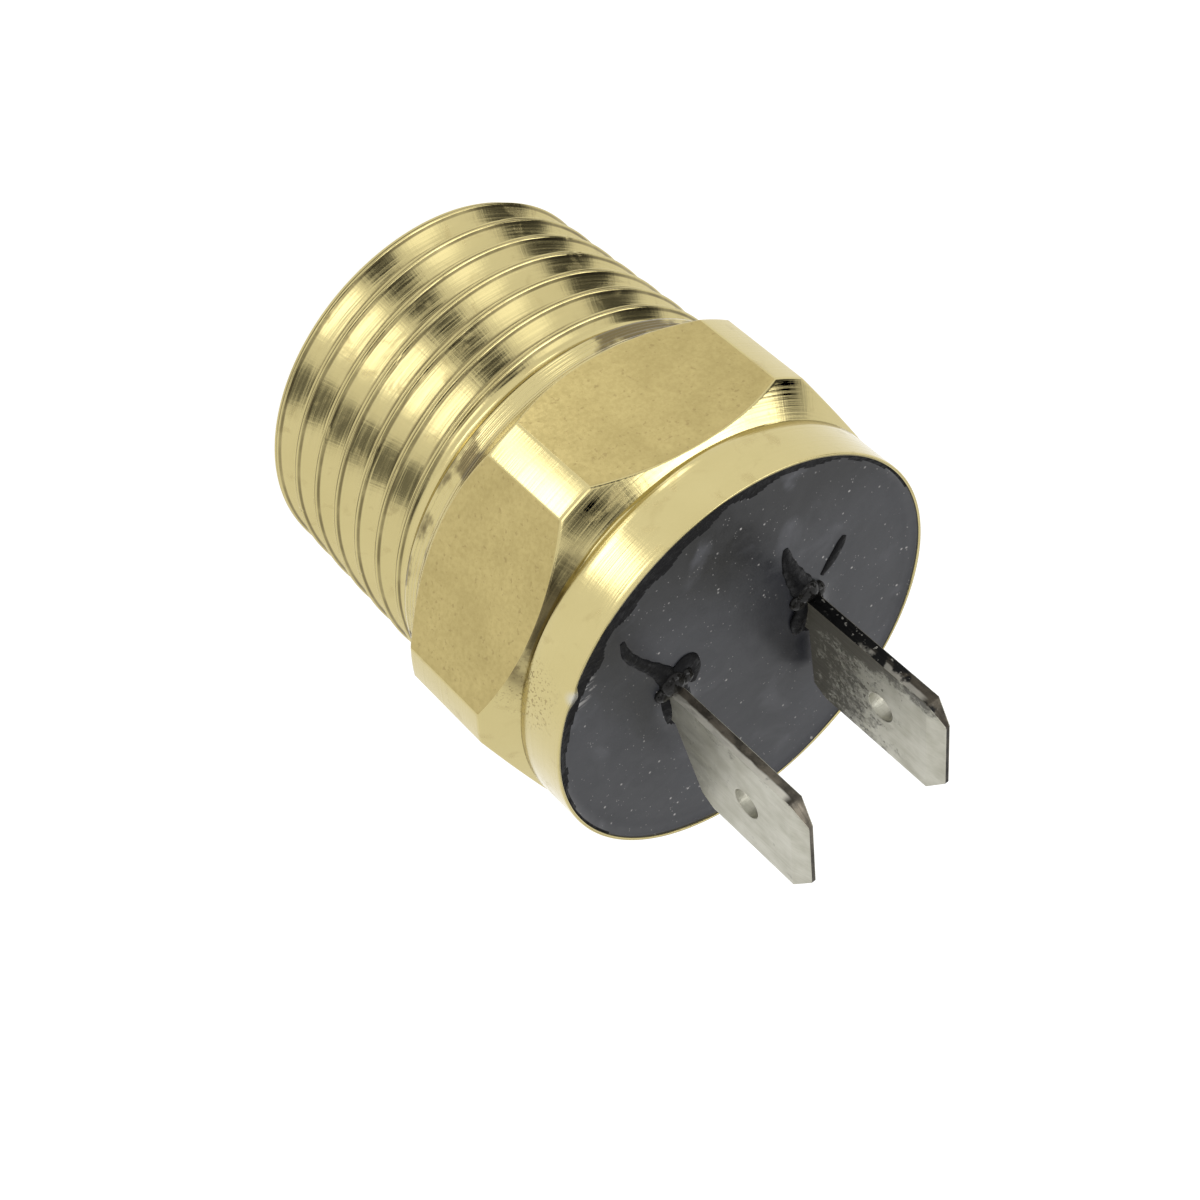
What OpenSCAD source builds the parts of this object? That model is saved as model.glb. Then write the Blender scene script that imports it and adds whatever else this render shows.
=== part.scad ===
// Pressure switch: one turned brass body with a tapered pipe thread and a hexagon,
// a diaphragm and spring-loaded piston inside, a lever contact above them,
// and two blade terminals standing out of a resin-filled cup.
// Millimetres. Z runs along the axis, from the thread end (Z = 0) to the terminals.
// X runs from the common terminal to the fixed terminal.

/* [Brass body] */
// Height of the body, from the thread end to the rim of the cup
body_h = 25; // [24.9:0.05:25.2]
// Radius of the round collar around the cup
collar_r = 11; // [10.95:0.01:11.05]
// Width across the flats of the hexagon
hex_af = 22.2; // [22.15:0.05:22.4]
// Radius that the corners of the hexagon are turned down to
hex_corner_r = 12.3; // [12:0.05:12.6]
// Turn of the hexagon about the axis, against the terminals
hex_turn = -4; // [-8:0.5:8]
// Bore of the cup that holds the contacts and the resin
cup_r = 10.3; // [10.28:0.01:10.34]

/* [Pipe thread] */
// Axial distance between two turns of the thread
thread_pitch = 1.814; // [1.7:0.002:1.9]
// Crest radius at the thread end
thread_crest_r = 10.36; // [10.3:0.01:10.4]
// Depth of the thread
thread_depth = 1.2; // [0.9:0.05:1.25]
// Length of the threaded part
thread_len = 12.2; // [11.8:0.1:12.4]

/* [Pressure side] */
// Radius of the pressure port
port_r = 2.5; // [2.3:0.05:2.8]
// Length of the pressure port
port_len = 6.5; // [6.2:0.1:6.8]
// Height of the seat that the diaphragm lies on
seat_z = 11; // [10.95:0.05:11.05]
// Stroke of the piston
piston_stroke = 0.35; // [0.1:0.01:0.35]

/* [Terminals] */
// Width of a terminal blade
blade_w = 6.3; // [5.8:0.1:6.4]
// Thickness of the terminal strip
blade_t = 0.8; // [0.76:0.01:0.84]
// Height of a blade's tip above the rim of the cup
blade_tip = 9.2; // [9:0.1:11]
// Distance between the two blades, middle to middle
blade_gap = 8.2; // [8:0.05:8.4]
// Radius of the detent hole in a blade
blade_hole_r = 0.8; // [0.6:0.05:0.9]
// Height of the detent hole above the rim of the cup
blade_hole_h = 5.1; // [4.8:0.1:6]
// Rise of the lower edge of the common blade, from its stem to its far side
common_heel = 1.6; // [0.1:0.1:2]
// Rise of the lower edge of the fixed blade, from its stem to its far side
fixed_heel = 0.2; // [0.1:0.1:2]

/* [Hidden] */
$fn = 96;

// Clearances
cut = 0.5;          // how far a cutter runs past the face it opens
slip = 0.03;        // radial clearance of parts that sit inside each other
loose = 0.3;        // radial clearance beside a moving part

// Body profile
taper = 1 / 32;                          // radius gained per millimetre of pipe thread
neck_z = thread_len - 0.3;               // the neck starts inside the last turn
neck_r = thread_crest_r + thread_len * taper + 0.15;
flat_r = hex_af / 2;
shoulder_r = flat_r - 0.02;              // the neck ends just inside the flats
chamfer_z = body_h - 10.8;               // start of the chamfer on the thread side
corner_low_z = body_h - 9.6;             // full corner radius, thread side
corner_high_z = body_h - 4.3;            // full corner radius, collar side
collar_z = body_h - 3.1;                 // the cone ends on the collar
rim_chamfer = 0.15;
lip_r = collar_r - 0.38;                 // the rim is a thin lip
lip_depth = 0.45;

// Bores of the body
main_r = 8.4;
step_z = body_h - 7;                     // shoulder that carries the guide plate
filter_r = 3.6;
pocket_r = 6;
pocket_h = 0.8;
port_chamfer = 0.4;

// Thread mesh
thread_cols = 40;                        // facets round one turn
thread_rows = 4;                         // profile points in one pitch
flat_share = 0.06;                       // share of the pitch that is crest or root flat
runout = 1.4 * thread_pitch;             // the roots rise to the crests over this length
lead_drop = 0.15;                        // the end face is this much under the root

// Filter, diaphragm and piston stack
filter_h = 1.2;
ring_h = 0.6;
diaphragm_t = 0.2;
clamp_h = 1.4;
flange_h = 1.1;
stem_r = 1.9;
stem_top_z = body_h - 8.1;
washer_h = 0.3;
washer_r = 5.2;
range_r = 4.2;
range_wire_r = 0.4;
range_turns = 2.25;
adjuster_z = body_h - 9;
adjuster_h = 1.2;
pin_r = 1;
pin_tail_z = stem_top_z - 1.7;
groove_w = 1.4;
groove_h = 1;
groove_r = 7.3;

// Contact chamber
guide_h = 0.9;
bush_flange_h = 0.25;
bush_r = 1.6;
plate_h = 0.7;                           // top wall of the contact housing
resin_z = body_h - 1.8;                  // underside of the resin
resin_top_z = body_h - 0.25;
housing_r = cup_r - 0.1;
housing_wall = 0.9;
plate_z = resin_z - plate_h;
foot_z = plate_z - blade_t;
foot_w = 4.2;
foot_end = 8.5;                          // how far out the terminal feet reach
contact_h = 0.3;
contact_r = 0.9;
lever_t = 0.6;
lever_w = 2.4;
pivot_x = -5;
pivot_z = body_h - 4.95;
pivot_r = 0.5;
barrel_r = 0.85;
contact_x = 4.3;
ear_t = 0.6;
ear_gap = 3;
rivet_x = 7;
rivet_r = 0.6;
rivet_head_r = 1;
rivet_head_h = 0.35;
screw_y = 7.6;
screw_r = 0.7;
boss_r = 1.35;
screw_head_r = 1.2;
screw_head_h = 0.6;
return_x = -1.2;
return_r = 0.75;
return_wire_r = 0.15;
return_turns = 4;
seal_r = 0.28;
seal_z = plate_z - 1.6;
stem_w = 2;
stem_y = -0.3;                           // middle of a terminal's stem
blade_edge_y = stem_y + stem_w / 2;      // the blade and its stem share one long edge
blade_low_z = body_h + 0.1;
tip_cut_w = 1;
tip_cut_h = 1;
resin_collar_h = 0.3;
lever_top_z = pivot_z + lever_t / 2;
pin_top_z = pivot_z - lever_t / 2 - 0.04;

BRASS = [0.80, 0.72, 0.45];
TIN = [0.74, 0.73, 0.68];
STEEL = [0.62, 0.64, 0.66];
RESIN = [0.12, 0.12, 0.13];
MOULDING = [0.20, 0.17, 0.15];
RUBBER = [0.08, 0.08, 0.08];
SILVER = [0.86, 0.86, 0.84];

function clamp(v, low, high) = min(max(v, low), high);

// --- Pipe thread -------------------------------------------------------------

// Crest radius of the taper at a height
function crest_r(z) = thread_crest_r + z * taper;

// Depth of the thread at a height: it fades out towards the neck
function depth_at(z) = thread_depth * clamp((thread_len - z) / runout, 0, 1);

// Where each of the four profile points lies in one pitch: crest, crest, root, root
function profile_share(i) = [0, flat_share, 0.5, 0.5 + flat_share][i % thread_rows];

function profile_r(i, z) =
    let (r = crest_r(z) - (i % thread_rows < 2 ? 0 : depth_at(z)),
         end_r = thread_crest_r - thread_depth - lead_drop)
    min(r, end_r + z);

function thread_point(i, j) =
    let (turn = floor(i / thread_rows) + profile_share(i) + j / thread_cols - 1,
         z = clamp(turn * thread_pitch, 0, thread_len),
         r = profile_r(i, z),
         a = 360 * j / thread_cols)
    [r * cos(a), r * sin(a), z];

module pipe_thread() {
    last = thread_rows * (ceil(thread_len / thread_pitch) + 1);
    rows = last + thread_rows + 1;
    points = [for (j = [0 : thread_cols - 1], i = [0 : rows - 1]) thread_point(i, j)];
    // The column after the last one is the first column, one pitch further up
    function at(i, j) = j < thread_cols ? j * rows + i : i + thread_rows;
    faces = [
        for (j = [0 : thread_cols - 1], i = [0 : last - 1], half = [0, 1])
            half == 0
                ? [at(i, j), at(i + 1, j), at(i + 1, j + 1)]
                : [at(i, j), at(i + 1, j + 1), at(i, j + 1)],
        [for (j = [0 : thread_cols - 1]) at(0, j)],
        [for (j = [thread_cols - 1 : -1 : 0]) at(last, j)]
    ];
    polyhedron(points, faces);
}

// --- Parts made by revolving, and springs --------------------------------------

// A ring between two radii
module ring(inner, outer, z, h) {
    translate([0, 0, z])
        difference() {
            cylinder(r = outer, h = h);
            translate([0, 0, -cut]) cylinder(r = inner, h = h + 2 * cut);
        }
}

// An O-ring
module torus(middle, section, z) {
    translate([0, 0, z])
        rotate_extrude() translate([middle, 0]) circle(r = section, $fn = 24);
}

// A helical compression spring: one tube swept along the helix
module coil_spring(middle, wire, low, high, turns, sides, steps) {
    rings = round(turns * steps);
    rise = high - low - 2 * wire;
    points = [
        for (k = [0 : rings], s = [0 : sides - 1])
            let (a = 360 * turns * k / rings,
                 b = 360 * s / sides,
                 r = middle + wire * cos(b))
            [r * cos(a), r * sin(a), low + wire + rise * k / rings + wire * sin(b)]
    ];
    function at(k, s) = k * sides + s % sides;
    faces = [
        for (k = [0 : rings - 1], s = [0 : sides - 1], half = [0, 1])
            half == 0
                ? [at(k, s), at(k, s + 1), at(k + 1, s + 1)]
                : [at(k, s), at(k + 1, s + 1), at(k + 1, s)],
        [for (s = [sides - 1 : -1 : 0]) at(0, s)],
        [for (s = [0 : sides - 1]) at(rings, s)]
    ];
    polyhedron(points, faces);
}

// --- Brass body ----------------------------------------------------------------

// A sphere centred on the axis that passes through two circles round the axis
module sphere_through(r1, z1, r2, z2) {
    z = (r2 * r2 + z2 * z2 - r1 * r1 - z1 * z1) / (2 * (z2 - z1));
    translate([0, 0, z]) sphere(r = norm([r1, z1 - z]));
}

// Hexagon with its corners turned down, and rounded off at both ends
module hexagon() {
    h = collar_z - chamfer_z;
    intersection() {
        translate([0, 0, chamfer_z])
            rotate([0, 0, hex_turn]) cylinder(r = flat_r / cos(30), h = h, $fn = 6);
        translate([0, 0, chamfer_z]) cylinder(r = hex_corner_r, h = h);
        sphere_through(shoulder_r, chamfer_z, hex_corner_r, corner_low_z);
        sphere_through(collar_r, collar_z, hex_corner_r, corner_high_z);
    }
}

module neck() {
    translate([0, 0, neck_z])
        cylinder(r1 = neck_r, r2 = shoulder_r, h = chamfer_z - neck_z);
}

module collar() {
    translate([0, 0, collar_z]) cylinder(r = collar_r, h = body_h - rim_chamfer - collar_z);
    translate([0, 0, body_h - rim_chamfer])
        cylinder(r1 = collar_r, r2 = collar_r - rim_chamfer, h = rim_chamfer);
}

module body_bores() {
    translate([0, 0, -cut]) cylinder(r = port_r, h = port_len + 2 * cut);
    translate([0, 0, -cut])
        cylinder(r1 = port_r + port_chamfer + cut, r2 = port_r, h = port_chamfer + cut);
    translate([0, 0, port_len]) cylinder(r = filter_r, h = seat_z - port_len);
    translate([0, 0, seat_z - pocket_h]) cylinder(r = pocket_r, h = pocket_h + cut);
    translate([0, 0, seat_z]) cylinder(r = main_r, h = step_z - seat_z + cut);
    translate([0, 0, step_z]) cylinder(r = cup_r, h = body_h - step_z + cut);
    translate([0, 0, body_h - lip_depth])
        cylinder(r1 = cup_r, r2 = lip_r, h = lip_depth);
    translate([0, 0, body_h]) cylinder(r = lip_r, h = cut);
    ring(groove_r - groove_w / 2, groove_r + groove_w / 2, seat_z - groove_h, groove_h + cut);
}

module switch_body() {
    color(BRASS)
        difference() {
            union() {
                pipe_thread();
                neck();
                hexagon();
                collar();
            }
            body_bores();
        }
}

// --- Pressure side ---------------------------------------------------------------

module port_filter() {
    color(BRASS)
        translate([0, 0, port_len]) cylinder(r = filter_r - slip, h = filter_h);
}

// Snap ring with a gap in it
module filter_retaining_ring() {
    color(STEEL)
        difference() {
            ring(filter_r - 0.8, filter_r - slip, port_len + filter_h, ring_h);
            translate([0, -0.5, port_len]) cube([filter_r + cut, 1, filter_h + ring_h + cut]);
        }
}

module diaphragm_seal() {
    color(RUBBER) torus(groove_r, groove_h / 2, seat_z - groove_h / 2);
}

module diaphragm() {
    color(STEEL)
        translate([0, 0, seat_z]) cylinder(r = main_r - 0.1, h = diaphragm_t);
}

// Threaded ring with two spanner notches
module diaphragm_clamp_ring() {
    z = seat_z + diaphragm_t;
    color(BRASS)
        difference() {
            ring(pocket_r + loose, main_r - slip, z, clamp_h);
            for (side = [0, 180])
                rotate([0, 0, side])
                    translate([pocket_r, -0.6, z + clamp_h - 0.6]) cube([3, 1.2, 1]);
        }
}

module pressure_piston() {
    z = seat_z + diaphragm_t;
    color(BRASS)
        difference() {
            union() {
                translate([0, 0, z]) cylinder(r = pocket_r, h = flange_h);
                translate([0, 0, z]) cylinder(r = stem_r, h = stem_top_z - z);
            }
            translate([0, 0, pin_tail_z])
                cylinder(r = pin_r + slip, h = stem_top_z - pin_tail_z + cut);
        }
}

module spring_seat() {
    color(STEEL)
        ring(stem_r + slip, washer_r, seat_z + diaphragm_t + flange_h, washer_h);
}

module range_spring() {
    color(STEEL)
        coil_spring(range_r, range_wire_r, seat_z + diaphragm_t + flange_h + washer_h,
                    adjuster_z, range_turns, 12, 24);
}

// Threaded ring that sets the switching pressure, with a bore for the piston's stem
module spring_adjusting_ring() {
    color(BRASS)
        difference() {
            ring(stem_r + loose, main_r - slip, adjuster_z, adjuster_h);
            for (side = [0, 180])
                rotate([0, 0, side])
                    translate([5, -0.6, adjuster_z + adjuster_h - 0.6]) cube([2, 1.2, 1]);
        }
}

// Pin with a domed top, seated in the piston's stem
module plunger_pin() {
    dome_h = 0.4;
    dome_r = (pin_r * pin_r + dome_h * dome_h) / (2 * dome_h);
    color(STEEL)
        intersection() {
            translate([0, 0, pin_tail_z]) cylinder(r = pin_r, h = pin_top_z - pin_tail_z);
            translate([0, 0, pin_top_z - dome_r]) sphere(r = dome_r);
        }
}

// --- Contact chamber ---------------------------------------------------------------

module guide_plate() {
    color(MOULDING)
        difference() {
            ring(bush_r + slip, housing_r, step_z, guide_h);
            for (side = [-1, 1])
                translate([0, side * screw_y, step_z - cut])
                    cylinder(r = screw_r + slip, h = guide_h + 2 * cut);
        }
}

module guide_bush() {
    color(BRASS) {
        ring(pin_r + 0.05, bush_r, step_z, guide_h);
        ring(pin_r + 0.05, bush_r + 0.4, step_z + guide_h, bush_flange_h);
    }
}

// Cup, open at the bottom, with slots for the stems and a groove for its seal
module contact_housing() {
    z = step_z + guide_h;
    color(MOULDING)
        difference() {
            translate([0, 0, z]) cylinder(r = housing_r, h = resin_z - z);
            difference() {
                translate([0, 0, z - cut])
                    cylinder(r = housing_r - housing_wall, h = plate_z - z + cut);
                for (side = [-1, 1])
                    translate([0, side * screw_y, z - cut])
                        cylinder(r = boss_r, h = plate_z - z + cut);
            }
            for (side = [-1, 1]) {
                translate([0, side * screw_y, z - cut])
                    cylinder(r = screw_r + slip, h = resin_z - z + 2 * cut);
                translate([side * blade_gap / 2, stem_y, plate_z])
                    cube([blade_t + 2 * slip, stem_w + 2 * slip, 4 * plate_h], center = true);
                translate([side * rivet_x, 0, plate_z - cut])
                    cylinder(r = rivet_r + slip, h = plate_h + 2 * cut);
            }
            ring(housing_r - 0.5, housing_r + cut, seal_z - 0.4, 0.8);
        }
}

module housing_seal() {
    color(RUBBER) torus(housing_r - 0.5 + seal_r + slip, seal_r, seal_z);
}

// Two screws that hold the housing to the guide plate
module housing_screws() {
    tip_z = step_z + 0.1;
    color(STEEL)
        for (side = [-1, 1])
            translate([0, side * screw_y, 0])
                difference() {
                    union() {
                        translate([0, 0, tip_z]) cylinder(r = screw_r, h = resin_z - tip_z);
                        translate([0, 0, resin_z]) cylinder(r = screw_head_r, h = screw_head_h);
                    }
                    translate([0, 0, resin_z + screw_head_h])
                        cube([4 * screw_r, 0.35, 0.6], center = true);
                }
}

// Blade, drawn in the plane of its strip: across the blade, and up
module blade_outline(heel) {
    edge = blade_edge_y;
    far = edge - blade_w;
    tip = body_h + blade_tip;
    difference() {
        polygon([
            [edge, foot_z + blade_t / 2], [edge, tip - tip_cut_h], [edge - tip_cut_w, tip],
            [far + tip_cut_w, tip], [far, tip - tip_cut_h], [far, blade_low_z + heel + 0.8],
            [far + 0.5, blade_low_z + heel], [edge - stem_w, blade_low_z],
            [edge - stem_w, foot_z + blade_t / 2]
        ]);
        translate([edge - blade_w / 2, body_h + blade_hole_h]) circle(r = blade_hole_r);
    }
}

// One stamped terminal: blade, stem and the foot under the housing's top wall
module terminal(side, heel) {
    translate([side * blade_gap / 2 - blade_t / 2, 0, 0])
        rotate([90, 0, 90]) linear_extrude(blade_t) blade_outline(heel);
    foot_start = blade_gap / 2 - blade_t;
    difference() {
        translate([side > 0 ? foot_start : -foot_end, -foot_w / 2, foot_z])
            cube([foot_end - foot_start, foot_w, blade_t]);
        translate([side * rivet_x, 0, foot_z - cut])
            cylinder(r = rivet_r + slip, h = blade_t + 2 * cut);
    }
}

// The common terminal also carries the two ears that hold the lever's pivot
module common_terminal() {
    ear_low = pivot_z - barrel_r;
    color(TIN) {
        terminal(-1, common_heel);
        difference() {
            for (ear = [-ear_gap / 2 - ear_t, ear_gap / 2])
                translate([pivot_x - 0.9, ear, ear_low])
                    cube([1.8, ear_t, foot_z - ear_low + blade_t / 2]);
            translate([pivot_x, 0, pivot_z])
                rotate([90, 0, 0])
                    cylinder(r = pivot_r + 0.02, h = foot_w + 2 * cut, center = true);
        }
    }
}

module fixed_terminal() {
    color(TIN) terminal(1, fixed_heel);
}

// Rivets that hold the terminal feet up against the housing's top wall
module terminal_rivets() {
    color(BRASS)
        for (side = [-1, 1])
            translate([side * rivet_x, 0, 0]) {
                translate([0, 0, foot_z]) cylinder(r = rivet_r, h = resin_z - foot_z);
                translate([0, 0, foot_z - rivet_head_h])
                    cylinder(r = rivet_head_r, h = rivet_head_h);
                translate([0, 0, resin_z]) cylinder(r = rivet_head_r, h = rivet_head_h);
            }
}

module contact_lever() {
    color(BRASS)
        difference() {
            union() {
                translate([pivot_x, -lever_w / 2, pivot_z - lever_t / 2])
                    cube([contact_x + 1.2 - pivot_x, lever_w, lever_t]);
                translate([pivot_x, 0, pivot_z])
                    rotate([90, 0, 0]) cylinder(r = barrel_r, h = ear_gap - 0.3, center = true);
            }
            translate([pivot_x, 0, pivot_z])
                rotate([90, 0, 0]) cylinder(r = pivot_r + 0.06, h = ear_gap + cut, center = true);
        }
}

module lever_pivot_pin() {
    color(STEEL)
        translate([pivot_x, 0, pivot_z])
            rotate([90, 0, 0])
                cylinder(r = pivot_r, h = ear_gap + 2 * ear_t, center = true);
}

module moving_contact() {
    color(SILVER)
        translate([contact_x, 0, lever_top_z]) cylinder(r = contact_r, h = contact_h);
}

module fixed_contact() {
    color(SILVER)
        translate([contact_x, 0, foot_z - contact_h]) cylinder(r = contact_r + 0.1, h = contact_h);
}

module lever_return_spring() {
    color(STEEL)
        translate([return_x, 0, 0])
            coil_spring(return_r, return_wire_r, lever_top_z, plate_z, return_turns, 8, 16);
}

// --- Resin -------------------------------------------------------------------------

module potting_compound() {
    color(RESIN)
        difference() {
            union() {
                translate([0, 0, resin_z]) cylinder(r = cup_r - slip, h = resin_top_z - resin_z);
                for (side = [-1, 1])
                    translate([side * blade_gap / 2, stem_y, resin_top_z])
                        cylinder(r1 = 1.7, r2 = 1.2, h = resin_collar_h);
            }
            for (side = [-1, 1]) {
                translate([side * blade_gap / 2, stem_y, resin_z])
                    cube([blade_t + 2 * slip, stem_w + 2 * slip, 8], center = true);
                translate([side * rivet_x, 0, resin_z - cut])
                    cylinder(r = rivet_head_r + slip, h = rivet_head_h + cut);
                translate([0, side * screw_y, resin_z - cut])
                    cylinder(r = screw_head_r + slip, h = screw_head_h + cut);
            }
        }
}

switch_body();
port_filter();
filter_retaining_ring();
diaphragm_seal();
diaphragm();
diaphragm_clamp_ring();
pressure_piston();
spring_seat();
range_spring();
spring_adjusting_ring();
plunger_pin();
guide_plate();
guide_bush();
contact_housing();
housing_seal();
housing_screws();
common_terminal();
fixed_terminal();
terminal_rivets();
contact_lever();
lever_pivot_pin();
moving_contact();
fixed_contact();
lever_return_spring();
potting_compound();
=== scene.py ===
"""Pressure switch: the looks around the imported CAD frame.

Every length below is in millimetres and becomes metres in make_mesh(). Z is the switch's axis, from
the thread end to the terminals, and X runs from the common terminal to the fixed terminal.
"""

import math

import bmesh
import bpy
import numpy as np
from mathutils import Matrix, Vector


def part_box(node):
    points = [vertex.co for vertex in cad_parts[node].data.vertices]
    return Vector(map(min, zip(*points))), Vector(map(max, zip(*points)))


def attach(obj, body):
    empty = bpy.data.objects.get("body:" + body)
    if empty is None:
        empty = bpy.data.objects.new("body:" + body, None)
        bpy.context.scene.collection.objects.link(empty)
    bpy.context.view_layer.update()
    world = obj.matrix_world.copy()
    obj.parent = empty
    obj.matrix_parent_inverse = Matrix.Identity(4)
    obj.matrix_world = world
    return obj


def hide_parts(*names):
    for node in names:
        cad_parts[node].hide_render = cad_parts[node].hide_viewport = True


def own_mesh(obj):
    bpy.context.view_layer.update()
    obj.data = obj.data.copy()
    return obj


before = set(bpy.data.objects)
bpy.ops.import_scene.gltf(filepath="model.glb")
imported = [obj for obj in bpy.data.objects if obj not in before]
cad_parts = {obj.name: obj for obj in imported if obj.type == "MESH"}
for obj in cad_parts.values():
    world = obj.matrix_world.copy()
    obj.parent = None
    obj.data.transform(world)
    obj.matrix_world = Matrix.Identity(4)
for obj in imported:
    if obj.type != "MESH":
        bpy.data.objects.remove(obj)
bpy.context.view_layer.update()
MM = 0.001

# --- Sizes, taken from the frame and from the design -----------------------------------------------


def height_of(node, end):
    """The lowest (0) or highest (1) Z of a CAD node, in millimetres."""
    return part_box(node)[end].z / MM


BODY_H = height_of("switch_body", 1)
RESIN_LOW = height_of("potting_compound", 0)
BLADE_TIP = height_of("common_terminal", 1)

COLLAR_R = 11.0
FLAT_R = 11.1
CORNER_R = 12.3
HEX_TURN = -4.0
SHOULDER_R = FLAT_R - 0.02
CHAMFER_Z = BODY_H - 10.8
CORNER_LOW_Z = BODY_H - 9.6
CORNER_HIGH_Z = BODY_H - 4.3
COLLAR_Z = BODY_H - 2.82
GROOVE_R = 10.70
GROOVE_Z = BODY_H - 2.95
CUP_R = 10.3
LIP_R = 10.85
LIP_WALL_R = 10.76
LIP_DEPTH = 0.50

THREAD_PITCH = 1.814
THREAD_CREST_R = 10.36
THREAD_DEPTH = 0.80
THREAD_LEN = 12.9
THREAD_TAPER = 1 / 32
THREAD_RUNOUT = 0.5 * THREAD_PITCH
LEAD_R = 9.35
LEAD_SLOPE = 2.6

BLADE_X = 4.1
BLADE_W = 6.3
STEM_Y = -0.3
BLADE_SIDE_Y = STEM_Y + 1.0
HOLE_R = 0.8
HOLE_Z = BODY_H + 5.1
COIN_H = 1.0
COIN_TIP = 0.35
RESIN_TOP = BODY_H - 0.28

PORT_EDGE_R = 2.9
BORES = [
    # height and radius of each corner of the stepped bores, from the cup's floor to the port's edge
    (18.0, CUP_R),
    (18.0, 8.4),
    (11.0, 8.4),
    (11.0, 8.0),
    (10.0, 8.0),
    (10.0, 6.6),
    (11.0, 6.6),
    (11.0, 6.0),
    (10.2, 6.0),
    (10.2, 3.6),
    (6.5, 3.6),
    (6.5, 2.5),
    (0.4, 2.5),
    (0.0, PORT_EDGE_R),
]

NICK_ANGLE = 152.7
NICK_PLACE = (-9.45, 4.88, BODY_H)
PITTED_PLACE = (-10.4, 3.7, BODY_H - 2.5)
# Centre of the painted shade in the groove below the collar
GROOVE_SHADE_PLACE = (-8.9, 6.6, BODY_H - 3.1)

rng = np.random.default_rng(7)


# --- Mesh helpers ----------------------------------------------------------------------------------


def make_mesh(name, points, faces, materials, face_slots=None, smooth=True):
    """A mesh object from points in millimetres, with its faces turned outwards."""
    mesh = bpy.data.meshes.new(name)
    mesh.from_pydata((np.asarray(points, float) * MM).tolist(), [], [list(f) for f in faces])
    for material in materials:
        mesh.materials.append(material)
    if face_slots is not None:
        mesh.polygons.foreach_set("material_index", np.asarray(face_slots, np.int32))
    work = bmesh.new()
    work.from_mesh(mesh)
    bmesh.ops.recalc_face_normals(work, faces=work.faces)
    for face in work.faces:
        face.smooth = smooth
    work.to_mesh(mesh)
    work.free()
    obj = bpy.data.objects.new(name, mesh)
    bpy.context.scene.collection.objects.link(obj)
    return obj


def ring_faces(low, high):
    """Faces between two closed rings of point numbers; points that coincide drop out."""
    faces = []
    for k in range(len(low) - 1):
        corner = [low[k], low[k + 1], high[k + 1], high[k]]
        face = [c for i, c in enumerate(corner) if c != corner[i - 1]]
        if len(face) > 2:
            faces.append(face)
    return faces


def close(ring):
    """A ring of point numbers with its first one again at its end."""
    return list(ring) + [ring[0]]


def smooth_min(a, b, width):
    """The smaller of two lengths, with the kink between them rounded over the width."""
    h = np.clip(0.5 + 0.5 * (b - a) / width, 0, 1)
    return b + (a - b) * h - width * h * (1 - h)


def bump(distance, width):
    """A smooth hump, 1 in its middle."""
    return np.exp(-((distance / width) ** 2))


# --- Material helpers ------------------------------------------------------------------------------


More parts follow.
